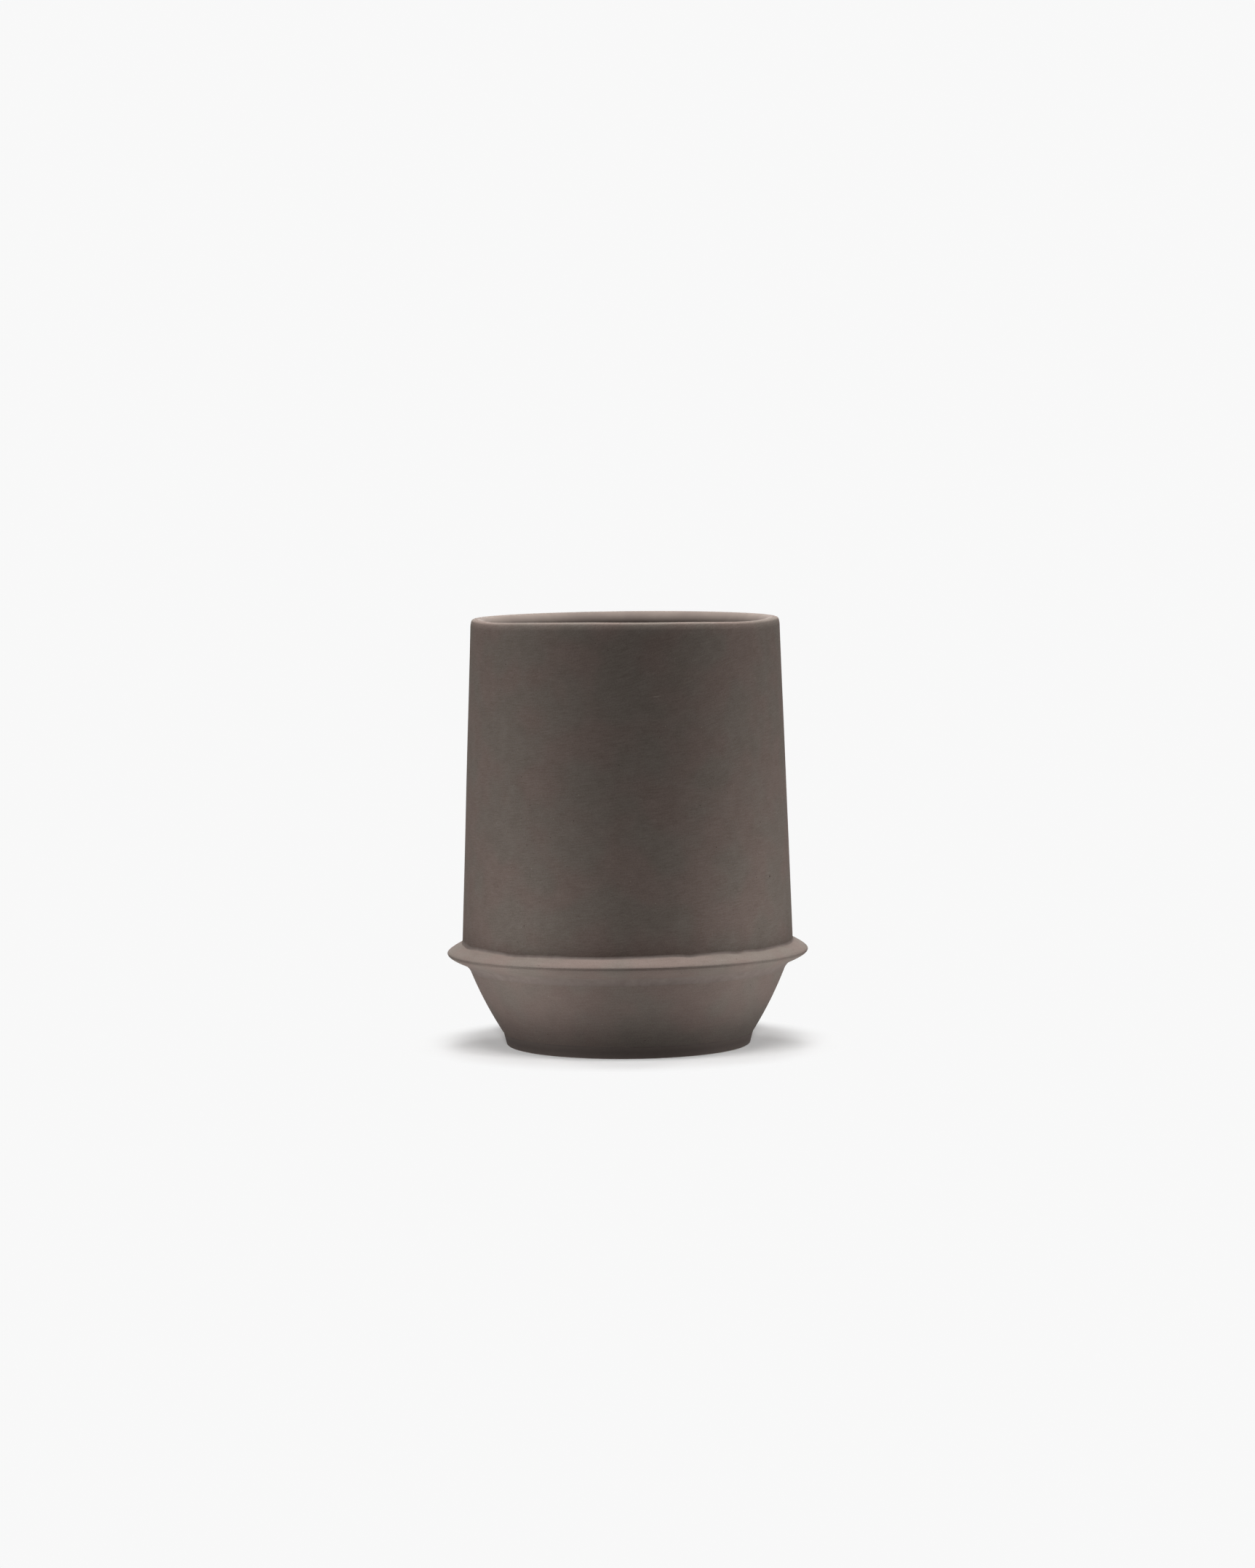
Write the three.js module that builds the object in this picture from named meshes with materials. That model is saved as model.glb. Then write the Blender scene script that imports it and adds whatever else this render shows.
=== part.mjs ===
// A tall porcelain mug without a handle: a tapered wall stands on a collar that sticks out like a discus,
// and the collar sits on a bowl with a low foot ring. The clay pieces lap over each other and are luted
// with slip, and a thin glaze lines the inside. Every piece is a body of revolution.
// Millimetres, +Z up. The origin is on the table, in the middle of the foot.
import * as THREE from "three";

// Wall
const mugHeight = 110;
const rimDiameter = 79.3;
const wallFootDiameter = 85.1;
const wallThickness = 4.2;

// Collar: the tip is its widest line, the seat carries the wall and the root meets the bowl
const seatHeight = 26.8;
const collarRise = 2.8;
const collarDrop = 3.05;
const collarProjection = 3.9;
const collarTipRounding = 1.4;

// Bowl
const bowlRimDiameter = 81.9;
const bowlFootDiameter = 64.4;
const bowlThickness = 4.6;
const bowlBulge = 0.5;
const floorThickness = 5;
const floorCornerRadius = 8;

// Foot ring
const footDiameter = 62.7;
const footBandHeight = 3.2;
const footRingWidth = 5.4;
const footToeRadius = 0.7;

// Luted joints and glaze
const lapHeight = 3;
const footLapHeight = 1.5;
const slipFilm = 0.3;
const slipBead = 0.8;
const glazeThickness = 0.4;

// Fineness of the round shapes
const turnSteps = 60;
const lipSteps = 8;
const tipSteps = 4;
const bowlSteps = 5;
const beadSteps = 3;
const cornerSteps = 5;
const toeSteps = 2;

// Radii and heights that follow from the sizes above
const rimRadius = rimDiameter / 2;
const lipRadius = wallThickness / 2;
const wallFootRadius = wallFootDiameter / 2;
const bowlRimRadius = bowlRimDiameter / 2;
const bowlFootRadius = bowlFootDiameter / 2;
const footRadius = footDiameter / 2;
const footInnerRadius = bowlFootRadius - footRingWidth;
const tipRadius = Math.max(wallFootRadius, bowlRimRadius) + collarProjection;
const shoulderHeight = mugHeight - lipRadius;
const tipHeight = seatHeight - collarRise;
const rootHeight = tipHeight - collarDrop;
const recessHeight = footBandHeight + footLapHeight;
const floorHeight = recessHeight + floorThickness;

// A point of a profile: its distance from the axis and its height above the table.
const at = (radius, height) => new THREE.Vector2(radius, height);

// The point a given way from one point towards another.
function along(from, to, way) {
  return from.clone().add(to.clone().sub(from).setLength(way));
}

// Points on a circle, both ends included, with angles in radians from straight outwards.
function arc(centre, radius, start, end, steps) {
  const points = [];
  for (let i = 0; i <= steps; i += 1) {
    const angle = start + ((end - start) * i) / steps;
    points.push(at(centre.x + radius * Math.cos(angle), centre.y + radius * Math.sin(angle)));
  }
  return points;
}

// Points along a curve from a given way past its start up to its end, both included.
function pointsFrom(curve, way, steps) {
  const share = way / curve.getLength();
  const points = [];
  for (let i = 0; i <= steps; i += 1) {
    points.push(curve.getPointAt(share + ((1 - share) * i) / steps));
  }
  return points;
}

// Points that round off the corner between two straight legs.
function roundedCorner(before, corner, after, radius, steps) {
  const back = before.clone().sub(corner).normalize();
  const on = after.clone().sub(corner).normalize();
  const half = Math.acos(back.dot(on)) / 2;
  const centre = along(corner, corner.clone().add(back).add(on), radius / Math.sin(half));
  const first = along(corner, before, radius / Math.tan(half)).sub(centre);
  const last = along(corner, after, radius / Math.tan(half)).sub(centre);
  const start = Math.atan2(first.y, first.x);
  const sweep = Math.atan2(first.cross(last), first.dot(last));
  return arc(centre, radius, start, start + sweep, steps);
}

// Wall surfaces: the outside is a straight taper from the foot up to the lip.
function wallRadius(height) {
  const share = (height - seatHeight) / (shoulderHeight - seatHeight);
  return THREE.MathUtils.lerp(wallFootRadius, rimRadius, share);
}

// Bowl surfaces: a bulged side outside, and inside it a straight line along the side's chord.
const bowlRim = at(bowlRimRadius, rootHeight - slipFilm);
const bowlFoot = at(bowlFootRadius, footBandHeight);
const bowlChord = bowlRim.clone().sub(bowlFoot).normalize();
const bowlOutward = at(bowlChord.y, -bowlChord.x);
const bowlBelly = bowlRim.clone().lerp(bowlFoot, 0.5).addScaledVector(bowlOutward, 2 * bowlBulge);
const bowlSide = new THREE.QuadraticBezierCurve(bowlRim, bowlBelly, bowlFoot);

function bowlInside(height, depth) {
  const slope = bowlChord.x / bowlChord.y;
  return bowlFootRadius + slope * (height - footBandHeight) - (bowlThickness + depth) / bowlChord.y;
}

// The inside of the mug at a depth from the clay: from the crest of the lip down to the middle of the floor.
function lipInside(depth) {
  const centre = at(rimRadius - lipRadius, shoulderHeight);
  const clay = arc(centre, lipRadius, Math.PI / 2, Math.PI, lipSteps / 2);
  return clay.map((point, i) => along(centre, point, lipRadius + (depth * i) / (lipSteps / 2)));
}

function wallInside(height, depth) {
  return at(wallRadius(height) - wallThickness - depth, height);
}

function floorInside(depth) {
  const level = floorHeight + depth;
  const corner = at(bowlInside(level, depth), level);
  const above = at(bowlInside(rootHeight, depth), rootHeight);
  const middle = at(0, level);
  return [...roundedCorner(above, corner, middle, floorCornerRadius - depth, cornerSteps), middle];
}

// Joint between wall and collar: a lap with the collar's tongue on the inside.
const wallLapRadius = wallFootRadius - wallThickness / 2;
const collarTongueTop = seatHeight + lapHeight;
const collarTop = [
  wallInside(seatHeight, 0),
  wallInside(collarTongueTop, 0),
  at(wallLapRadius, collarTongueTop),
  at(wallLapRadius, seatHeight),
  at(wallFootRadius, seatHeight),
];
const wallBottom = [
  wallInside(collarTongueTop + slipFilm, 0),
  at(wallLapRadius + slipFilm, collarTongueTop + slipFilm),
  at(wallLapRadius + slipFilm, seatHeight + slipFilm),
  at(wallRadius(seatHeight + slipFilm), seatHeight + slipFilm),
];

// Joint between collar and bowl: a lap with the bowl's tongue on the inside.
const bowlLapRadius = (bowlRimRadius + bowlInside(rootHeight, 0)) / 2;
const bowlTongueTop = rootHeight + lapHeight - slipFilm;
const bowlTop = [
  at(bowlInside(bowlTongueTop, 0), bowlTongueTop),
  at(bowlLapRadius, bowlTongueTop),
  at(bowlLapRadius, bowlRim.y),
  bowlRim,
];
const collarBottom = [
  at(bowlInside(bowlTongueTop + slipFilm, 0), bowlTongueTop + slipFilm),
  at(bowlLapRadius + slipFilm, bowlTongueTop + slipFilm),
  at(bowlLapRadius + slipFilm, rootHeight),
  at(bowlRimRadius, rootHeight),
];

// Joint between bowl and foot ring: the ring's tongue stands in a rebate round the floor's underside.
const footLapRadius = bowlFootRadius - footRingWidth / 2;
const footSlant = (bowlFootRadius - footRadius) / (footBandHeight - footToeRadius);
const footTop = [
  at(footInnerRadius, recessHeight - slipFilm),
  at(footLapRadius, recessHeight - slipFilm),
  at(footLapRadius, footBandHeight - slipFilm),
  at(bowlFootRadius - footSlant * slipFilm, footBandHeight - slipFilm),
];
const bowlBottom = [
  at(footInnerRadius, recessHeight),
  at(footLapRadius + slipFilm, recessHeight),
  at(footLapRadius + slipFilm, footBandHeight),
  bowlFoot,
];

// Collar faces, which turn over at the tip, and the lines along which the beads of slip end
const collarRim = collarTop.at(-1);
const collarRoot = collarBottom.at(-1);
const collarTip = at(tipRadius, tipHeight);
const tipAbove = at(tipRadius, tipHeight + collarTipRounding);
const tipBelow = at(tipRadius, tipHeight - collarTipRounding);
const upperFace = new THREE.QuadraticBezierCurve(collarRim, tipAbove, collarTip);
const lowerFace = new THREE.QuadraticBezierCurve(collarRoot, tipBelow, collarTip);
const collarUpper = pointsFrom(upperFace, slipBead, tipSteps);
const collarLower = pointsFrom(lowerFace, slipBead, tipSteps);
const bowlOutside = pointsFrom(bowlSide, slipBead, bowlSteps);
const wallBeadHeight = seatHeight + slipFilm + slipBead;
const beadOnWall = at(wallRadius(wallBeadHeight), wallBeadHeight);
const beadOnCollar = collarUpper[0];
const beadUnderCollar = collarLower[0];
const beadOnBowl = bowlOutside[0];

// A bead of slip fills the corner with a hollow face that runs out along both pieces.
function beadFace(start, corner, end) {
  return new THREE.QuadraticBezierCurve(start, corner, end).getPoints(beadSteps);
}

// Outlines, each running up the outside and down the inside of its piece
const wallOutline = [
  ...wallBottom,
  beadOnWall,
  ...arc(at(rimRadius - lipRadius, shoulderHeight), lipRadius, 0, Math.PI / 2, lipSteps / 2),
  ...lipInside(0).slice(1),
  wallBottom[0],
];

const collarOutline = [
  ...collarBottom,
  ...collarLower,
  ...collarUpper.toReversed().slice(1),
  ...collarTop.toReversed(),
  collarBottom[0],
];

const bowlOutline = [
  at(0, recessHeight),
  ...bowlBottom,
  ...bowlOutside.toReversed().slice(1),
  ...bowlTop.toReversed(),
  ...floorInside(0),
];

const footOutline = [
  at(footInnerRadius, 0),
  ...arc(at(footRadius - footToeRadius, footToeRadius), footToeRadius, -Math.PI / 2, 0, toeSteps),
  ...footTop.toReversed(),
  at(footInnerRadius, 0),
];

const wallSlipOutline = [
  ...collarTop.slice(1),
  ...beadFace(beadOnCollar, collarRim, beadOnWall),
  ...wallBottom.toReversed(),
  collarTop[1],
];

const bowlSlipOutline = [
  ...bowlTop,
  ...beadFace(beadOnBowl, bowlRim, beadUnderCollar),
  ...collarBottom.toReversed(),
  bowlTop[0],
];

const footSlipOutline = [...footTop, ...bowlBottom.toReversed(), footTop[0]];

const glazeOutline = [
  ...floorInside(0).toReversed(),
  bowlTop[0],
  collarBottom[0],
  collarTop[0],
  collarTop[1],
  wallBottom[0],
  ...lipInside(0).toReversed(),
  ...lipInside(glazeThickness).slice(1),
  wallInside(seatHeight, glazeThickness),
  at(bowlInside(bowlTongueTop, glazeThickness), bowlTongueTop),
  ...floorInside(glazeThickness),
];

// Turns an outline about the mug's axis and names the piece.
function turned(name, outline, colour, roughness) {
  const geometry = new THREE.LatheGeometry(outline, turnSteps);
  geometry.rotateX(Math.PI / 2);
  const material = new THREE.MeshStandardMaterial({ color: colour, roughness, metalness: 0 });
  const mesh = new THREE.Mesh(geometry, material);
  mesh.name = name;
  return mesh;
}

// Stained porcelain, sanded dull outside, with a satin glaze of the same brown grey inside
const clayColour = "#6e635d";
const footColour = "#665c56";
const slipColour = "#73675f";
const glazeColour = "#776b64";
const clayRoughness = 0.85;
const slipRoughness = 0.9;
const glazeRoughness = 0.45;

const clayPieces = new THREE.Group();
clayPieces.add(
  turned("foot_ring", footOutline, footColour, clayRoughness),
  turned("lower_bowl", bowlOutline, clayColour, clayRoughness),
  turned("flange_collar", collarOutline, clayColour, clayRoughness),
  turned("upper_wall", wallOutline, clayColour, clayRoughness),
);

const slipJoints = new THREE.Group();
slipJoints.add(
  turned("foot_slip", footSlipOutline, slipColour, slipRoughness),
  turned("bowl_slip", bowlSlipOutline, slipColour, slipRoughness),
  turned("wall_slip", wallSlipOutline, slipColour, slipRoughness),
);

const mug = new THREE.Group();
mug.add(clayPieces, slipJoints, turned("inner_glaze", glazeOutline, glazeColour, glazeRoughness));

export default mug;
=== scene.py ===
import math

import bmesh
import bpy
from mathutils import Matrix, Vector, geometry, noise


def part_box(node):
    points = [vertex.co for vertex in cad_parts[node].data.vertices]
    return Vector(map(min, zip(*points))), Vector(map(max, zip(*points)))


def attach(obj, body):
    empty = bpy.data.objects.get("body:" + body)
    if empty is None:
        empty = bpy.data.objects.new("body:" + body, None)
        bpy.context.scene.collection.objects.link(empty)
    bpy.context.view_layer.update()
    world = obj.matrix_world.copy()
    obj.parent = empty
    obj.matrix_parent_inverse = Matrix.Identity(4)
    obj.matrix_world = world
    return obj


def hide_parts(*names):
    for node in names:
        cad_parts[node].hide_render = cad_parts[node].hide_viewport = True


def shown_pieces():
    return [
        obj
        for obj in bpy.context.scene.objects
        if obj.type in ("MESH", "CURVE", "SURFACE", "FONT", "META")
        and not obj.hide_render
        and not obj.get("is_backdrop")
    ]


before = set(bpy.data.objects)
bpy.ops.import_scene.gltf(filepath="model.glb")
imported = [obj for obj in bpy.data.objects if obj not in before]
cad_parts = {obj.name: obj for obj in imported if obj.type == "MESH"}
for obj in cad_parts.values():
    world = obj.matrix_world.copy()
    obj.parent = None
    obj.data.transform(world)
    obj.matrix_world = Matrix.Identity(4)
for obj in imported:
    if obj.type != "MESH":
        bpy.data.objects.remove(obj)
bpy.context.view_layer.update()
mm = 0.001
print("frame loaded:", len(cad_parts), "solids")


def sizes(node):  # bottom, top and largest radius of a solid, in millimetres
    lowest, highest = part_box(node)
    return lowest.z / mm, highest.z / mm, highest.x / mm


wallFoot, mugHeight, wallFootRadius = sizes("upper_wall")
rootHeight, collarTongueTop, tipRadius = sizes("flange_collar")
bowlFoot, bowlTongueTop, bowlRimRadius = sizes("lower_bowl")
tableHeight, footTongueTop, bandRadius = sizes("foot_ring")
recessHeight = sizes("foot_slip")[1]
floorHeight = sizes("inner_glaze")[0]
slipFilm = recessHeight - footTongueTop
seatHeight = wallFoot - slipFilm


# Materials

def linear(hexColour):  # sRGB hex to linear RGBA
    channels = [int(hexColour[i:i + 2], 16) / 255 for i in (1, 3, 5)]
    return [c / 12.92 if c <= 0.04045 else ((c + 0.055) / 1.055) ** 2.4 for c in channels] + [1]


def addNode(tree, kind, inputs, **settings):  # a socket is linked, any other value is set
    node = tree.nodes.new(kind)
    for name, value in settings.items():
        setattr(node, name, value)
    for key, value in inputs.items():
        if isinstance(value, bpy.types.NodeSocket):
            tree.links.new(value, node.inputs[key])
        else:
            node.inputs[key].default_value = value
    return node


def newMaterial(name):
    material = bpy.data.materials.new(name)
    material.use_nodes = True
    material.node_tree.nodes.clear()
    return material, material.node_tree


noiseSpan = {"From Min": 0.3, "From Max": 0.7}  # nearly all of a noise pattern lies between these
bareClay = {"IOR": 1.5, "Specular IOR Level": 0.09}  # mirrors far less than a glaze

wallFinish = {
    "name": "sandedPorcelain",
    "dark": "#695f59", "light": "#7a706b", "toneEdge": (0.38, 0.62),  # stained clay, between its two tones
    "rusty": "#fff9f7", "grey": "#f9fcf9",  # faint drift of hue over the clay
    "drift": 11, "driftEdge": (0.35, 0.65),
    "pinhole": "#514742", "speck": "#8b8079",
    "strokeLength": 2.6, "strokeWidth": 0.2,  # sanding marks are about 0.1 wide, drawn coarser to show
    "grain": 0.3, "grainShare": 0.5,  # the clay's grain is about 0.1 too, drawn coarser as well
    "aroundTilt": 7, "swirlTilt": 17,  # degrees that the strokes climb to the right
    "swirlFrom": 55, "swirlTo": 125,  # height plus distance to the right, where the swirled strokes take over
    "swirlPull": (-0.25, 0.35), "swirlEdge": (0.5, 0.68),  # how strongly, and how soft their patches end
    "patch": 22, "mottle": 4, "mottleShare": 0.2,
    "pinholeSpacing": 3.6, "pinholeSize": 0.18,
    "speckSpacing": 4.6, "speckSize": 0.16, "markCore": 0.55,  # share of a mark that is not faded
    "scratch": ((7.65, -39.5, 91.6), (1.2, 3.0, 0.14)),  # one short light scratch: middle, half lengths
    "pit": ((36.03, -21.4, 44.9), (0.34, 0.7, 0.36)), "singleCore": 0.3,  # and one larger pinhole
    "roughness": (0.92, 1.0), "depth": 0.014,
}
spongedFinish = wallFinish | {  # collar and bowl: wiped with a damp sponge after sanding, so smoother
    "name": "spongedPorcelain",
    "dark": "#6a605b", "light": "#766c67",
    "strokeLength": 4.5, "strokeWidth": 0.3,
    "grainShare": 0.65,
    "aroundTilt": 2, "swirlTilt": 8,
    "depth": 0.006,
}


# Unglazed stained porcelain, rubbed with fine paper: dull, with faint strokes, pinholes and grog specks
def porcelain(finish):
    material, tree = newMaterial(finish["name"])
    place = addNode(tree, "ShaderNodeTexCoord", {}).outputs["Object"]
    stroke = (finish["strokeLength"] * mm, finish["strokeLength"] * mm, finish["strokeWidth"] * mm)

    layers = []
    for tilt in (finish["aroundTilt"], finish["swirlTilt"]):
        lay = addNode(tree, "ShaderNodeMapping", {
            "Vector": place, "Rotation": (0, math.radians(-tilt), 0), "Scale": stroke}, vector_type="TEXTURE")
        layers.append(addNode(tree, "ShaderNodeTexNoise", {
            "Vector": lay.outputs[0], "Scale": 1, "Detail": 3, "Roughness": 0.6}).outputs["Fac"])

    patches = addNode(tree, "ShaderNodeTexNoise", {
        "Vector": place, "Scale": 1 / (finish["patch"] * mm), "Detail": 1}).outputs["Fac"]
    spot = addNode(tree, "ShaderNodeSeparateXYZ", {"Vector": place})
    climb = addNode(tree, "ShaderNodeMath", {0: spot.outputs["Z"], 1: spot.outputs["X"]}, operation="ADD")
    swirlHigh = addNode(tree, "ShaderNodeMapRange", {
        "Value": climb.outputs[0], "From Min": finish["swirlFrom"] * mm, "From Max": finish["swirlTo"] * mm,
        "To Min": finish["swirlPull"][0], "To Max": finish["swirlPull"][1]}, interpolation_type="SMOOTHSTEP")
    swirl = addNode(tree, "ShaderNodeMath", {0: patches, 1: swirlHigh.outputs[0]}, operation="ADD")
    swirlShare = addNode(tree, "ShaderNodeMapRange", {
        "Value": swirl.outputs[0], "From Min": finish["swirlEdge"][0], "From Max": finish["swirlEdge"][1]},
        interpolation_type="SMOOTHSTEP")
    strokes = addNode(tree, "ShaderNodeMix", {
        0: swirlShare.outputs[0], 2: layers[0], 3: layers[1]}, data_type="FLOAT").outputs[0]

    mottle = addNode(tree, "ShaderNodeTexNoise", {
        "Vector": place, "Scale": 1 / (finish["mottle"] * mm), "Detail": 4, "Roughness": 0.55}).outputs["Fac"]
    grain = addNode(tree, "ShaderNodeTexNoise", {
        "Vector": place, "Scale": 1 / (finish["grain"] * mm), "Detail": 2, "Roughness": 0.6}).outputs["Fac"]
    fine = addNode(tree, "ShaderNodeMix", {
        0: finish["grainShare"], 2: strokes, 3: grain}, data_type="FLOAT").outputs[0]
    tone = addNode(tree, "ShaderNodeMix", {
        0: finish["mottleShare"], 2: fine, 3: mottle}, data_type="FLOAT")
    toneShare = addNode(tree, "ShaderNodeMapRange", {
        "Value": tone.outputs[0], "From Min": finish["toneEdge"][0], "From Max": finish["toneEdge"][1]})
    toned = addNode(tree, "ShaderNodeMix", {
        0: toneShare.outputs[0], 6: linear(finish["dark"]), 7: linear(finish["light"])},
        data_type="RGBA").outputs[2]
    drift = addNode(tree, "ShaderNodeTexNoise", {
        "Vector": place, "Scale": 1 / (finish["drift"] * mm), "Detail": 1}).outputs["Fac"]
    driftShare = addNode(tree, "ShaderNodeMapRange", {
        "Value": drift, "From Min": finish["driftEdge"][0], "From Max": finish["driftEdge"][1]},
        interpolation_type="SMOOTHSTEP")
    hue = addNode(tree, "ShaderNodeMix", {
        0: driftShare.outputs[0], 6: linear(finish["rusty"]), 7: linear(finish["grey"])},
        data_type="RGBA").outputs[2]
    clay = addNode(tree, "ShaderNodeMix", {
        0: 1, 6: toned, 7: hue}, data_type="RGBA", blend_type="MULTIPLY").outputs[2]

    marks = []
    for many, single in (("pinhole", "pit"), ("speck", "scratch")):
        spacing, size = finish[many + "Spacing"], finish[many + "Size"]
        cells = addNode(tree, "ShaderNodeTexVoronoi", {
            "Vector": place, "Scale": 1 / (spacing * mm)}, feature="F1")
        spread = addNode(tree, "ShaderNodeMapRange", {
            "Value": cells.outputs["Distance"], "To Min": 1, "To Max": 0,
            "From Min": finish["markCore"] * size / spacing, "From Max": size / spacing},
            interpolation_type="SMOOTHSTEP")
        middle, reach = ([length * mm for length in lengths] for lengths in finish[single])
        about = addNode(tree, "ShaderNodeMapping", {
            "Vector": place, "Location": middle, "Scale": reach}, vector_type="TEXTURE")
        off = addNode(tree, "ShaderNodeVectorMath", {0: about.outputs[0]}, operation="LENGTH")
        alone = addNode(tree, "ShaderNodeMapRange", {
            "Value": off.outputs["Value"], "To Min": 1, "To Max": 0,
            "From Min": finish["singleCore"], "From Max": 1})
        marks.append(addNode(tree, "ShaderNodeMath", {
            0: spread.outputs[0], 1: alone.outputs[0]}, operation="MAXIMUM").outputs[0])
    holed = addNode(tree, "ShaderNodeMix", {
        0: marks[0], 6: clay, 7: linear(finish["pinhole"])}, data_type="RGBA").outputs[2]
    colour = addNode(tree, "ShaderNodeMix", {
        0: marks[1], 6: holed, 7: linear(finish["speck"])}, data_type="RGBA").outputs[2]

    relief = addNode(tree, "ShaderNodeMath", {0: fine, 1: marks[0]}, operation="SUBTRACT")
    bump = addNode(tree, "ShaderNodeBump", {
        "Height": relief.outputs[0], "Strength": 1, "Distance": finish["depth"] * mm})
    dull = addNode(tree, "ShaderNodeMapRange", {
        "Value": strokes, **noiseSpan,
        "To Min": finish["roughness"][0], "To Max": finish["roughness"][1]})
    shader = addNode(tree, "ShaderNodeBsdfPrincipled", {
        "Base Color": colour, "Roughness": dull.outputs[0], "Normal": bump.outputs[0],
        **bareClay})
    addNode(tree, "ShaderNodeOutputMaterial", {"Surface": shader.outputs[0]})
    return material


footFinish = {
    "dark": "#6b615c", "light": "#776c67",
    "ringWidth": 0.6, "wobble": 1.2, "grain": 0.8, "grainShare": 0.6,
    "roughness": (0.92, 1.0), "depth": 0.03,
}


def turnedFoot():  # bare clay cut on the wheel: faint rings round the axis under fine grain
    material, tree = newMaterial("turnedFoot")
    place = addNode(tree, "ShaderNodeTexCoord", {}).outputs["Object"]
    waveLength = math.pi / 10  # of Blender's wave pattern at scale 1
    rings = addNode(tree, "ShaderNodeTexWave", {
        "Vector": place, "Scale": waveLength / (footFinish["ringWidth"] * mm),
        "Distortion": footFinish["wobble"], "Detail": 2}, wave_type="RINGS", rings_direction="Z")
    grain = addNode(tree, "ShaderNodeTexNoise", {
        "Vector": place, "Scale": 1 / (footFinish["grain"] * mm),
        "Detail": 4, "Roughness": 0.6}).outputs["Fac"]
    cut = addNode(tree, "ShaderNodeMix", {
        0: footFinish["grainShare"], 2: rings.outputs["Fac"], 3: grain}, data_type="FLOAT").outputs[0]
    colour = addNode(tree, "ShaderNodeMix", {
        0: cut, 6: linear(footFinish["dark"]), 7: linear(footFinish["light"])},
        data_type="RGBA").outputs[2]
    bump = addNode(tree, "ShaderNodeBump", {
        "Height": cut, "Strength": 1, "Distance": footFinish["depth"] * mm})
    dull = addNode(tree, "ShaderNodeMapRange", {
        "Value": grain, **noiseSpan,
        "To Min": footFinish["roughness"][0], "To Max": footFinish["roughness"][1]})
    shader = addNode(tree, "ShaderNodeBsdfPrincipled", {
        "Base Color": colour, "Roughness": dull.outputs[0], "Normal": bump.outputs[0],
        **bareClay})
    addNode(tree, "ShaderNodeOutputMaterial", {"Surface": shader.outputs[0]})
    return material


slipFinish = {
    "dark": "#6a605b", "light": "#746a65", "toneEdge": (0.35, 0.65),
    "lump": 2.2, "grain": 0.5, "grainShare": 0.4,
    "roughness": (0.92, 1.0), "depth": 0.015,
}


def firedSlip():  # liquid clay dabbed into the joint and wiped: a shade lighter, with soft lumps
    material, tree = newMaterial("firedSlip")
    place = addNode(tree, "ShaderNodeTexCoord", {}).outputs["Object"]
    lumps = addNode(tree, "ShaderNodeTexNoise", {
        "Vector": place, "Scale": 1 / (slipFinish["lump"] * mm), "Detail": 2}).outputs["Fac"]
    grain = addNode(tree, "ShaderNodeTexNoise", {
        "Vector": place, "Scale": 1 / (slipFinish["grain"] * mm),
        "Detail": 3, "Roughness": 0.6}).outputs["Fac"]
    body = addNode(tree, "ShaderNodeMix", {
        0: slipFinish["grainShare"], 2: lumps, 3: grain}, data_type="FLOAT").outputs[0]
    share = addNode(tree, "ShaderNodeMapRange", {
        "Value": body,
        "From Min": slipFinish["toneEdge"][0], "From Max": slipFinish["toneEdge"][1]}).outputs[0]
    colour = addNode(tree, "ShaderNodeMix", {
        0: share, 6: linear(slipFinish["dark"]), 7: linear(slipFinish["light"])},
        data_type="RGBA").outputs[2]
    bump = addNode(tree, "ShaderNodeBump", {
        "Height": body, "Strength": 1, "Distance": slipFinish["depth"] * mm})
    dull = addNode(tree, "ShaderNodeMapRange", {
        "Value": grain, **noiseSpan,
        "To Min": slipFinish["roughness"][0], "To Max": slipFinish["roughness"][1]})
    shader = addNode(tree, "ShaderNodeBsdfPrincipled", {
        "Base Color": colour, "Roughness": dull.outputs[0], "Normal": bump.outputs[0],
        **bareClay})
    addNode(tree, "ShaderNodeOutputMaterial", {"Surface": shader.outputs[0]})
    return material


glazeFinish = {
    "dark": "#70655f", "light": "#7d726b", "toneEdge": (0.35, 0.65),
    "cloud": 14, "pit": 2.8, "pitSize": 0.18, "ripple": 3.5,
    "roughness": (0.38, 0.5), "depth": 0.03,
    "thinFrom": 100, "thinTo": 106, "thinRoughness": 0.95,  # towards the lip the coat thins out and goes dull
}


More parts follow.
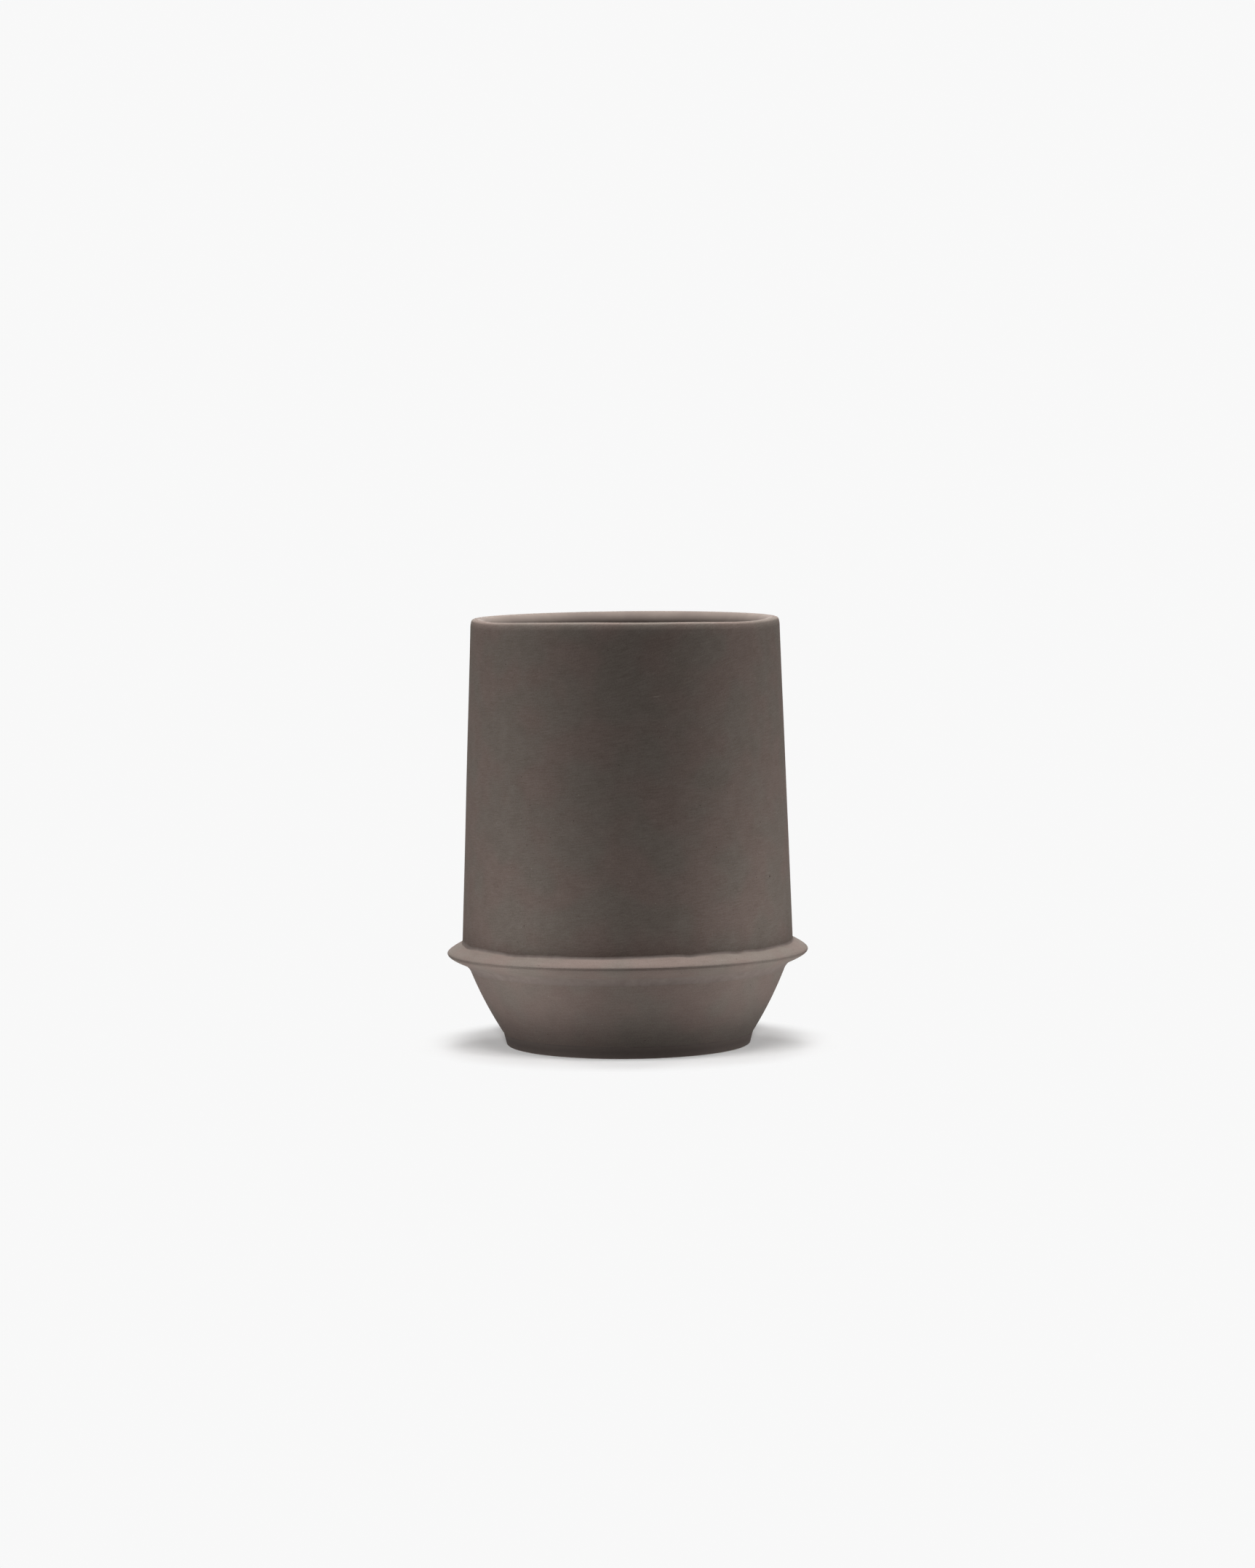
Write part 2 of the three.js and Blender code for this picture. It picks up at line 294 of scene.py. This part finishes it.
def satinGlaze():  # thin dull glaze over the stained clay: cloudy tone, soft sheen and a few pits
    material, tree = newMaterial("satinGlaze")
    place = addNode(tree, "ShaderNodeTexCoord", {}).outputs["Object"]
    clouds = addNode(tree, "ShaderNodeTexNoise", {
        "Vector": place, "Scale": 1 / (glazeFinish["cloud"] * mm),
        "Detail": 4, "Roughness": 0.55}).outputs["Fac"]
    share = addNode(tree, "ShaderNodeMapRange", {
        "Value": clouds,
        "From Min": glazeFinish["toneEdge"][0], "From Max": glazeFinish["toneEdge"][1]}).outputs[0]
    colour = addNode(tree, "ShaderNodeMix", {
        0: share, 6: linear(glazeFinish["dark"]), 7: linear(glazeFinish["light"])},
        data_type="RGBA").outputs[2]
    ripples = addNode(tree, "ShaderNodeTexNoise", {
        "Vector": place, "Scale": 1 / (glazeFinish["ripple"] * mm), "Detail": 1}).outputs["Fac"]
    cells = addNode(tree, "ShaderNodeTexVoronoi", {
        "Vector": place, "Scale": 1 / (glazeFinish["pit"] * mm)}, feature="F1")
    pits = addNode(tree, "ShaderNodeMapRange", {
        "Value": cells.outputs["Distance"], "To Min": 1, "To Max": 0,
        "From Min": 0, "From Max": glazeFinish["pitSize"] / glazeFinish["pit"]}).outputs[0]
    relief = addNode(tree, "ShaderNodeMath", {0: ripples, 1: pits}, operation="SUBTRACT")
    bump = addNode(tree, "ShaderNodeBump", {
        "Height": relief.outputs[0], "Strength": 1, "Distance": glazeFinish["depth"] * mm})
    sheen = addNode(tree, "ShaderNodeMapRange", {
        "Value": ripples, **noiseSpan,
        "To Min": glazeFinish["roughness"][0], "To Max": glazeFinish["roughness"][1]})
    spot = addNode(tree, "ShaderNodeSeparateXYZ", {"Vector": place})
    thin = addNode(tree, "ShaderNodeMapRange", {
        "Value": spot.outputs["Z"],
        "From Min": glazeFinish["thinFrom"] * mm, "From Max": glazeFinish["thinTo"] * mm},
        interpolation_type="SMOOTHSTEP")
    dull = addNode(tree, "ShaderNodeMix", {
        0: thin.outputs[0], 2: sheen.outputs[0], 3: glazeFinish["thinRoughness"]},
        data_type="FLOAT").outputs[0]
    shader = addNode(tree, "ShaderNodeBsdfPrincipled", {
        "Base Color": colour, "Roughness": dull, "Normal": bump.outputs[0],
        "IOR": 1.5, "Specular IOR Level": 0.25})
    addNode(tree, "ShaderNodeOutputMaterial", {"Surface": shader.outputs[0]})
    return material


sandedPorcelain = porcelain(wallFinish)
spongedPorcelain = porcelain(spongedFinish)
bareFoot = turnedFoot()
slip = firedSlip()
satin = satinGlaze()
print("materials made")


# What hand finishing leaves: one field of small shifts for all pieces, so that they keep fitting

hand = {
    "collarLean": 0.27, "leanReach": 14,  # right side of the collar up, left side down
    "tipWarp": 0.22,  # the collar's edge stands higher at the front and back than at the sides
    "rimWarp": 0.06, "rimPhase": 0.6, "rimPower": 8,  # the shifts of the lip die away soon below it
    "rimTilt": 0.1,  # the lip is a little lower at the front than at the back
    "rimMarks": [  # where the lip was sanded: degrees right of the front, half width in degrees, rise
        (-60, 20, -0.42), (-12, 12, 0.1), (54, 21, -0.42)],
    "outOfRound": 0.06, "wanderLength": 30,
    "seamReach": 1.6, "seamSeed": 0.3,
    "seamWaver": [(3, 0.06), (9, 0.03)],  # waves within one radian, and their height
    "seamMarks": [  # where the seam was pressed: same three numbers
        (-72, 5, -0.35), (-42, 7, -0.28), (-32, 16, -0.16), (-8, 12, -0.18),
        (15, 4, 0.08), (21.5, 2.5, -0.25), (40, 3, -0.35), (52, 7, -0.4), (74, 13, -0.5)],
    "standing": 6,  # below this height the shifts die away towards the table
}


def marksRise(marks, turn):  # single rises and dips on the way round, added up
    degrees = math.degrees(turn)
    return sum(rise * math.exp(-((degrees - centre) / width) ** 2) for centre, width, rise in marks)


def seamRise(turn):  # how far the seam between wall and collar strays from level
    ring = Vector((math.cos(turn), math.sin(turn), hand["seamSeed"]))
    waver = sum(rise * noise.noise(waves * ring) for waves, rise in hand["seamWaver"])
    return waver + marksRise(hand["seamMarks"], turn)


def handMade(point):
    radius, height = math.hypot(point.x, point.y) / mm, point.z / mm
    if radius < 1e-3:  # on the axis
        return point
    turn = math.atan2(point.x, -point.y)  # from the front towards the right
    lean = math.exp(-((height - seatHeight) / hand["leanReach"]) ** 2)
    rise = hand["collarLean"] * math.sin(turn) * radius / tipRadius * lean
    reach = max(0, radius - wallFootRadius) / (tipRadius - wallFootRadius)
    rise += hand["tipWarp"] * math.cos(2 * turn) * reach * lean
    nearRim = (height / mugHeight) ** hand["rimPower"]
    rimRise = hand["rimWarp"] * math.cos(2 * turn + hand["rimPhase"]) - hand["rimTilt"] * math.cos(turn)
    rise += (rimRise + marksRise(hand["rimMarks"], turn)) * nearRim
    off = math.hypot(radius - wallFootRadius, height - seatHeight) / hand["seamReach"]
    if off < 3:  # further away the seam's strays have died out
        rise += seamRise(turn) * math.exp(-off ** 2)
    swell = hand["outOfRound"] * noise.noise(point / (hand["wanderLength"] * mm))
    firm = min(1, height / hand["standing"])
    aside = Vector((point.x, point.y, 0)) * (1 + firm * swell / radius)
    return aside + Vector((0, 0, (height + firm * rise) * mm))


# Turning: an outline of (radius, height) points in millimetres, up the outside and down the inside

turning = {
    "steps": 360, "roundSegments": 8, "curvePoints": 14, "sharpAngle": 40,
    "rowHeight": 3.0, "seamRowHeight": 0.5, "seamBand": 4,  # rows are closer together near the seam
    "mergeDistance": 0.002,
}


def curve(start, control, end):  # a bend that leaves start towards control and reaches end from it
    first, middle, last = (Vector((*point, 0)) for point in (start, control, end))
    bend = geometry.interpolate_bezier(
        first, first.lerp(middle, 2 / 3), last.lerp(middle, 2 / 3), last, turning["curvePoints"])
    return [point.to_2d().to_tuple() for point in bend]


def onWay(points, way):  # the point at a given way along a run of points, and the points after it
    for i, (here, there) in enumerate(zip(points, points[1:])):
        step = math.dist(here, there)
        if way < step:
            return [tuple(Vector(here).lerp(Vector(there), way / step)), *points[i + 1:]]
        way -= step
    return points[-1:]


def turnedPiece(name, node, material, outline, bead=None):
    bm = bmesh.new()
    beadLayer = bm.verts.layers.float.new("bead")
    points = outline + (bead["face"] if bead else [])
    verts = [bm.verts.new((radius * mm, 0, height * mm)) for radius, height, *_ in points]
    for vert in verts[len(outline):]:
        vert[beadLayer] = 1
    runs = list(zip(verts, verts[1:]))
    if points[0][0] > 0:
        runs.append((verts[-1], verts[0]))
    for run in runs:
        bm.edges.new(run)
    for vert, (_, _, *rounding) in zip(verts, points):
        if rounding:
            bmesh.ops.bevel(
                bm, geom=[vert], offset=rounding[0] * mm, segments=turning["roundSegments"],
                profile=0.5, affect="VERTICES", material=-1)
    seam = Vector((wallFootRadius * mm, 0, wallFoot * mm))
    for row, reach in ((turning["rowHeight"], mugHeight), (turning["seamRowHeight"], turning["seamBand"])):
        for edge in bm.edges[:]:
            middle = (edge.verts[0].co + edge.verts[1].co) / 2
            cuts = int(edge.calc_length() / (row * mm))
            if cuts and (middle - seam).length < reach * mm:
                bmesh.ops.subdivide_edges(bm, edges=[edge], cuts=cuts)
    bmesh.ops.spin(
        bm, geom=bm.verts[:] + bm.edges[:], cent=(0, 0, 0), axis=(0, 0, 1),
        angle=math.tau, steps=turning["steps"], use_merge=True)
    bmesh.ops.remove_doubles(bm, verts=bm.verts[:], dist=turning["mergeDistance"] * mm)
    bmesh.ops.recalc_face_normals(bm, faces=bm.faces[:])
    for vert in bm.verts:
        if vert[beadLayer]:
            vert.co = swollen(vert.co, bead)
        vert.co = handMade(vert.co)
    bm.verts.layers.float.remove(beadLayer)

    mesh = bpy.data.meshes.new(name)
    bm.to_mesh(mesh)
    bm.free()
    mesh.shade_smooth()
    mesh.set_sharp_from_angle(angle=math.radians(turning["sharpAngle"]))
    mesh.materials.append(material)
    piece = bpy.data.objects.new(name, mesh)
    bpy.context.scene.collection.objects.link(piece)
    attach(piece, "root")
    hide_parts(node)
    print(name, "turned:", len(mesh.polygons), "faces")
    return piece


# Wall: a straight taper, with a lip that bends slowly and then tightly to its crest

wall = {
    "rimRadius": 39.65, "thickness": 4.2,
    "lipWidth": 1.65, "lipDrop": 1.9,  # the outer bends of the lip, from side to crest
    "shoulder": (0.18, 0.6),  # where the slow bend meets the tight one: in from the side, below the crest
    "shoulderLean": 18,  # degrees from upright there
    "underGlaze": 0.05,  # gap that keeps the clay from showing through the glaze
}
innerLip = wall["thickness"] - wall["lipWidth"]


def wallRadius(height):
    share = (height - wallFoot) / (mugHeight - wall["thickness"] / 2 - wallFoot)
    return wallFootRadius + (wall["rimRadius"] - wallFootRadius) * share


def wallInside(height, depth=0):
    return wallRadius(height) - wall["thickness"] - depth, height


seatRadius = wallRadius(seatHeight)
wallLap = seatRadius - wall["thickness"] / 2
wallBottom = [
    wallInside(collarTongueTop + slipFilm),
    (wallLap + slipFilm, collarTongueTop + slipFilm),
    (wallLap + slipFilm, wallFoot),
    (wallFootRadius, wallFoot),
]
lipStart, under = mugHeight - wall["lipDrop"], wall["underGlaze"]
crest = (wallRadius(mugHeight) - wall["lipWidth"], mugHeight)
shoulderIn, shoulderDrop = wall["shoulder"]
shoulder = (wallRadius(mugHeight) - shoulderIn, mugHeight - shoulderDrop)
lipLean = math.tan(math.radians(wall["shoulderLean"]))
slowControl = (shoulder[0] + shoulderIn, shoulder[1] - shoulderIn / lipLean)
tightControl = (shoulder[0] - shoulderDrop * lipLean, mugHeight)
lipBend = (
    curve((wallRadius(lipStart), lipStart), slowControl, shoulder)
    + curve(shoulder, tightControl, crest)[1:])
turnedPiece("upperWall", "upper_wall", sandedPorcelain, wallBottom + lipBend + [
    (crest[0] - under, mugHeight - under),
    (wallInside(mugHeight)[0] + under, mugHeight - under, innerLip - 2 * under),
])


# Collar: two bends that meet at the tip, with a tongue up inside the wall

collar = {
    "tipHeight": 24.33, "upperRounding": 0.7, "lowerRounding": 1.15,
    "crease": (0.15, 0.45, 0.08),  # fine line turned under the edge: from, to, depth
    "creaseWay": (-0.8, 0.6),  # which way it was cut in
}
bowl = {"footRadius": 32.2, "thickness": 4.6, "bulge": 0.5, "floorCorner": 4.9}

bowlRim = Vector((bowlRimRadius, rootHeight - slipFilm))
bowlToe = Vector((bowl["footRadius"], bowlFoot))
bowlChord = (bowlRim - bowlToe).normalized()


def bowlInside(height, depth=0):
    slope = bowlChord.x / bowlChord.y
    outside = bowl["footRadius"] + slope * (height - bowlFoot)
    return outside - (bowl["thickness"] + depth) / bowlChord.y, height


bowlLap = (bowlRimRadius + bowlInside(rootHeight)[0]) / 2
collarTip = (tipRadius, collar["tipHeight"])
aboveTip = (tipRadius, collar["tipHeight"] + collar["upperRounding"])
belowTip = (tipRadius, collar["tipHeight"] - collar["lowerRounding"])
upperBend = curve((seatRadius, seatHeight), aboveTip, collarTip)
lowerBend = curve((bowlRimRadius, rootHeight), belowTip, collarTip)
creaseFrom, creaseTo, creaseDepth = collar["crease"]
creaseTop = onWay(lowerBend[::-1], creaseFrom)[0]
creaseRun = onWay(lowerBend[::-1], creaseTo)
creaseDeep = (Vector(creaseTop) + Vector(creaseRun[0])) / 2 + creaseDepth * Vector(collar["creaseWay"])
collarEdge = creaseRun[-2::-1] + [tuple(creaseDeep), creaseTop, collarTip]
collarTongue = [
    (seatRadius, seatHeight),
    (wallLap, seatHeight),
    (wallLap, collarTongueTop),
    wallInside(collarTongueTop),
]
collarBottom = [
    bowlInside(bowlTongueTop + slipFilm),
    (bowlLap + slipFilm, bowlTongueTop + slipFilm),
    (bowlLap + slipFilm, rootHeight),
    (bowlRimRadius, rootHeight),
]
turnedPiece(
    "flangeCollar", "flange_collar", spongedPorcelain,
    collarBottom + collarEdge + upperBend[-2:0:-1] + collarTongue + [wallInside(seatHeight)])


# Bowl: a bulged side on a flat floor, with a tongue up inside the collar

foot = {"radius": 31.35, "width": 5.4, "toe": 0.4}
footInner = bowl["footRadius"] - foot["width"]
footLap = bowl["footRadius"] - foot["width"] / 2

bowlBelly = (bowlRim + bowlToe) / 2 + 2 * bowl["bulge"] * Vector((bowlChord.y, -bowlChord.x))
bowlSide = curve(bowlRim, bowlBelly, bowlToe)
bowlTongue = [
    (bowlLap, bowlRim.y),
    (bowlLap, bowlTongueTop),
    bowlInside(bowlTongueTop),
]
bowlBottom = [
    (footInner, recessHeight),
    (footLap + slipFilm, recessHeight),
    (footLap + slipFilm, bowlFoot),
]
turnedPiece(
    "lowerBowl", "lower_bowl", spongedPorcelain,
    [(0, recessHeight)] + bowlBottom + bowlSide[::-1] + bowlTongue
    + [(*bowlInside(floorHeight), bowl["floorCorner"]), (0, floorHeight)])


# Foot ring: a low band with a rounded toe and a tongue up into the rebate

footTongue = [
    (bandRadius, bowlFoot - slipFilm),
    (footLap, bowlFoot - slipFilm),
    (footLap, footTongueTop),
    (footInner, footTongueTop),
]
turnedPiece(
    "footRing", "foot_ring", bareFoot,
    [(footInner, tableHeight, foot["toe"]), (foot["radius"], tableHeight, foot["toe"])] + footTongue)


# Slip: films in the laps, with beads squeezed out above and below the collar

slipJoint = {
    "wallBead": 0.5, "bowlBead": 1.6, "buried": 0.02,
    "swell": {"wall": 0.4, "bowl": 0.04},  # the lower bead was wiped smooth
    "lumps": [(5, 1), (12, 0.6)],  # length and share
    "heavySides": [(-78, 9, 2.0)],  # upper bead: degrees right of the front, half width in degrees, growth
}


def swollen(point, bead):  # a bead grows and shrinks about its corner on the way round
    radius, height = bead["corner"]
    out = Vector((point.x, point.y, 0)).normalized()
    pivot = out * radius * mm + Vector((0, 0, height * mm))
    lump = sum(share * noise.noise(pivot / (length * mm)) for length, share in slipJoint["lumps"])
    growth = 1 + bead["swell"] * lump + marksRise(bead["heavySides"], math.atan2(out.x, -out.y))
    return pivot + (point - pivot) * growth


upperRun = onWay(upperBend, slipJoint["wallBead"])
beadTop = wallFoot + slipJoint["wallBead"]
wallBead = curve(
    (upperRun[0][0], upperRun[0][1] - slipJoint["buried"]),
    (seatRadius, seatHeight),
    (wallRadius(beadTop) - slipJoint["buried"], beadTop))
turnedPiece(
    "wallSlip", "wall_slip", slip, wallBottom[::-1] + collarTongue[::-1],
    bead={
        "face": wallBead, "corner": (seatRadius, wallFoot),
        "swell": slipJoint["swell"]["wall"], "heavySides": slipJoint["heavySides"]})

lowerRun = onWay(lowerBend, slipJoint["bowlBead"])
sideRun = onWay(bowlSide, slipJoint["bowlBead"])
bowlBead = curve(
    (sideRun[0][0] - slipJoint["buried"], sideRun[0][1]),
    tuple(bowlRim),
    (lowerRun[0][0], lowerRun[0][1] + slipJoint["buried"]))
turnedPiece(
    "bowlSlip", "bowl_slip", slip, collarBottom[::-1] + bowlTongue[::-1] + [tuple(bowlRim)],
    bead={
        "face": bowlBead, "corner": (bowlRimRadius, rootHeight),
        "swell": slipJoint["swell"]["bowl"], "heavySides": []})

turnedPiece(
    "footSlip", "foot_slip", slip, footTongue[::-1] + [tuple(bowlToe)] + bowlBottom[::-1])


# Glaze: a coat inside, thin at the crest of the lip

glaze = {"thickness": 0.4}
coat, glazeEdge = glaze["thickness"], mugHeight - under / 2
turnedPiece("innerGlaze", "inner_glaze", satin, [
    (0, floorHeight),
    (*bowlInside(floorHeight), bowl["floorCorner"]),
    bowlInside(bowlTongueTop),
    bowlInside(bowlTongueTop + slipFilm),
    wallInside(seatHeight),
    wallInside(collarTongueTop),
    wallInside(collarTongueTop + slipFilm),
    (wallInside(mugHeight)[0], glazeEdge, innerLip - under),
    (crest[0], glazeEdge),
    crest,
    (*wallInside(mugHeight, coat), innerLip + coat),
    wallInside(seatHeight, coat),
    bowlInside(bowlTongueTop, coat),
    (*bowlInside(floorHeight + coat, coat), bowl["floorCorner"] - coat),
    (0, floorHeight + coat),
])


# Table top, light and camera

stage = {
    "radius": 3000, "segments": 180, "board": "#e7e7e7", "white": 0.941,
    "fadeFrom": 42, "fadeTo": 57,  # beyond the mug's shadow the table is one even white
    "glow": [  # light that the table throws back on the mug, painted on it as a glow, dim just round the foot where the mug shades the table: radius, brightness
        (30, 0.5), (40, 0.12), (47, 0.1), (50, 2.3), (56, 2.0), (64, 1.5), (69, 0.35),
        (85, 0.6), (110, 0.6), (120, 0)],
    "frontShare": (0.82, 1.25),  # less of that light comes from right in front than from the quarters
    "frontMiddle": 5, "frontSpread": 0.4,  # how far right the front is, squared sine of the turn at its end
}
# Degrees right of the front, degrees above the table, width in degrees, light on a white sheet that faces it
lamps = {
    "overhead": (0, 90, 14, 1.53),
    "upperRight": (70, 82, 24, 0.41),
    "upperLeft": (-70, 82, 24, 0.34),
    "rightPanel": (112, 8, 20, 0.07),
    "back": (180, 18, 20, 0.33),
}
cards = {  # bright strips of the table on both sides: middle, size, brightness
    "rightNear": ((88, -62), (85, 54), 2.6),
    "rightFar": ((200, -68), (140, 54), 10.0),
    "leftNear": ((-54, -70), (30, 54), 3.7),
    "leftFar": ((-192, -86), (140, 54), 14.6),
}
tableLamps = {  # these light the table alone, and give the mug's soft shadow on it
    "tableFront": (0, 6, 14, 3.37),
    "tableHighRight": (25, 60, 14, 0.176),
    "tableHighLeft": (-25, 60, 14, 0.176),
    "tableHighFront": (0, 60, 14, 0.203),
    "tableOverhead": (0, 78, 14, 0.036),
    "tableRight": (105, 6, 14, 0.225),
    "tableLeft": (-105, 6, 14, 0.225),
    "tableBackRight": (140, 14, 14, 0.315),
    "tableBackLeft": (-140, 14, 14, 0.315),
    "tableBack": (180, 60, 14, 0.122),
}


def paleTable():
    bm = bmesh.new()
    bmesh.ops.create_circle(bm, cap_ends=True, radius=stage["radius"] * mm, segments=stage["segments"])
    mesh = bpy.data.meshes.new("paleTable")
    bm.to_mesh(mesh)
    bm.free()
    material, tree = newMaterial("paleBoard")  # matt board, even white beyond the shadow; to the mug's diffuse rays it glows instead, painted light in place of what it throws back
    place = addNode(tree, "ShaderNodeTexCoord", {}).outputs["Object"]
    away = addNode(tree, "ShaderNodeVectorMath", {0: place}, operation="LENGTH").outputs["Value"]
    fade = addNode(tree, "ShaderNodeMapRange", {
        "Value": away, "From Min": stage["fadeFrom"] * mm, "From Max": stage["fadeTo"] * mm},
        interpolation_type="SMOOTHSTEP")
    board = addNode(tree, "ShaderNodeBsdfDiffuse", {"Color": linear(stage["board"])})
    white = addNode(tree, "ShaderNodeEmission", {"Strength": stage["white"]})
    seen = addNode(tree, "ShaderNodeMixShader", {
        0: fade.outputs[0], 1: board.outputs[0], 2: white.outputs[0]})

    reach, peak = stage["glow"][-1][0], max(bright for _, bright in stage["glow"])
    share = addNode(tree, "ShaderNodeMapRange", {"Value": away, "From Min": 0, "From Max": reach * mm})
    ramp = addNode(tree, "ShaderNodeValToRGB", {"Fac": share.outputs[0]})
    stops = ramp.color_ramp.elements
    while len(stops) < len(stage["glow"]):
        stops.new(0)
    for stop, (radius, bright) in zip(stops, stage["glow"]):
        stop.position, stop.color = radius / reach, [bright / peak] * 3 + [1]
    shifted = addNode(tree, "ShaderNodeVectorMath", {
        0: place, 1: (stage["frontMiddle"] * mm, 0, 0)}, operation="SUBTRACT")
    aside = addNode(tree, "ShaderNodeVectorMath", {0: shifted.outputs[0]}, operation="NORMALIZE")
    turn = addNode(tree, "ShaderNodeSeparateXYZ", {"Vector": aside.outputs[0]})
    squared = addNode(tree, "ShaderNodeMath", {
        0: turn.outputs["X"], 1: turn.outputs["X"]}, operation="MULTIPLY")
    strength = addNode(tree, "ShaderNodeMapRange", {
        "Value": squared.outputs[0], "From Min": 0, "From Max": stage["frontSpread"],
        "To Min": peak * stage["frontShare"][0], "To Max": peak * stage["frontShare"][1]})
    # painted light: the board glows for the mug's diffuse rays, standing in for the light it would throw back
    glow = addNode(tree, "ShaderNodeEmission", {
        "Color": ramp.outputs["Color"], "Strength": strength.outputs[0]})
    path = addNode(tree, "ShaderNodeLightPath", {})
    either = addNode(tree, "ShaderNodeMixShader", {
        0: path.outputs["Is Diffuse Ray"], 1: seen.outputs[0], 2: glow.outputs[0]})
    side = addNode(tree, "ShaderNodeNewGeometry", {}).outputs["Backfacing"]
    clear = addNode(tree, "ShaderNodeBsdfTransparent", {})
    oneSided = addNode(tree, "ShaderNodeMixShader", {  # from below, the foot shows through
        0: side, 1: either.outputs[0], 2: clear.outputs[0]})
    addNode(tree, "ShaderNodeOutputMaterial", {"Surface": oneSided.outputs[0]})
    mesh.materials.append(material)
    table = bpy.data.objects.new("paleTable", mesh)
    bpy.context.scene.collection.objects.link(table)
    table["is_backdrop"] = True
    return table


def studioWorld():  # white where it is seen or mirrored, dark as a light
    world = bpy.data.worlds.new("studio")
    world.use_nodes = True
    tree = world.node_tree
    tree.nodes.clear()
    path = addNode(tree, "ShaderNodeLightPath", {})
    mirrored = addNode(tree, "ShaderNodeMath", {
        0: path.outputs["Is Glossy Ray"], 1: path.outputs["Is Transmission Ray"]}, operation="ADD")
    seen = addNode(tree, "ShaderNodeMath", {
        0: path.outputs["Is Camera Ray"], 1: mirrored.outputs[0]}, operation="ADD", use_clamp=True)
    dim = addNode(tree, "ShaderNodeBackground", {"Color": (0, 0, 0, 1), "Strength": 0})
    white = addNode(tree, "ShaderNodeBackground", {"Color": (1, 1, 1, 1), "Strength": stage["white"]})
    mix = addNode(tree, "ShaderNodeMixShader", {0: seen.outputs[0], 1: dim.outputs[0], 2: white.outputs[0]})
    addNode(tree, "ShaderNodeOutputWorld", {"Surface": mix.outputs[0]})
    bpy.context.scene.world = world


def litBy(name, objects):  # the set of objects that a group of lamps shines on
    receivers = bpy.data.collections.new(name)
    for thing in objects:
        receivers.objects.link(thing)
    return receivers


def softLamp(name, receivers, turn, height, width, light):  # a far, wide lamp, so its light is even
    data = bpy.data.lights.new(name, "SUN")
    data.energy = math.pi * light
    data.angle = math.radians(width)
    lamp = bpy.data.objects.new(name, data)
    lamp.light_linking.receiver_collection = receivers
    turn, height = math.radians(turn), math.radians(height)
    towards = Vector((
        math.sin(turn) * math.cos(height), -math.cos(turn) * math.cos(height), math.sin(height)))
    lamp.rotation_mode = "QUATERNION"
    lamp.rotation_quaternion = towards.to_track_quat("Z", "Y")
    bpy.context.scene.collection.objects.link(lamp)


def cardLamp(name, receivers, middle, size, glow):  # a strip of table that shines upwards
    data = bpy.data.lights.new(name, "AREA")
    data.shape = "RECTANGLE"
    data.size, data.size_y = size[0] * mm, size[1] * mm
    data.energy = math.pi * glow * data.size * data.size_y
    lamp = bpy.data.objects.new(name, data)
    lamp.light_linking.receiver_collection = receivers
    lamp.location = (middle[0] * mm, middle[1] * mm, mm)  # just above the table
    lamp.rotation_euler = (math.pi, 0, 0)
    lamp.visible_camera = lamp.visible_glossy = lamp.visible_transmission = False
    bpy.context.scene.collection.objects.link(lamp)


table = paleTable()
studioWorld()
mugLight = litBy("mugLight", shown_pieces())
tableLight = litBy("tableLight", [table])
for name, setting in lamps.items():
    softLamp(name, mugLight, *setting)
for name, setting in cards.items():
    cardLamp(name, mugLight, *setting)
for name, setting in tableLamps.items():
    softLamp(name, tableLight, *setting)
print("lit by", len(lamps) + len(cards), "lamps on the mug and", len(tableLamps), "on the table")

view = {  # found from the mug's outline in the photograph
    "distance": 1128, "height": 151.2,  # millimetres from the axis and above the table
    "down": 4.268, "aside": -0.015, "roll": -0.489,  # degrees
    "focal": 6045, "pictureHeight": 2156,  # pixels
    "sensor": 36,
}
camera = bpy.data.cameras.new("camera")
camera.sensor_width = view["sensor"]
camera.lens = view["sensor"] * view["focal"] / view["pictureHeight"]
cameraObject = bpy.data.objects.new("camera", camera)
cameraObject.matrix_world = (
    Matrix.Translation((0, -view["distance"] * mm, view["height"] * mm))
    @ Matrix.Rotation(math.radians(view["aside"]), 4, "Z")
    @ Matrix.Rotation(math.radians(90 - view["down"]), 4, "X")
    @ Matrix.Rotation(math.radians(view["roll"]), 4, "Z"))
bpy.context.scene.collection.objects.link(cameraObject)
bpy.context.scene.camera = cameraObject
bpy.context.scene.view_settings.view_transform = "Standard"
print("camera placed")
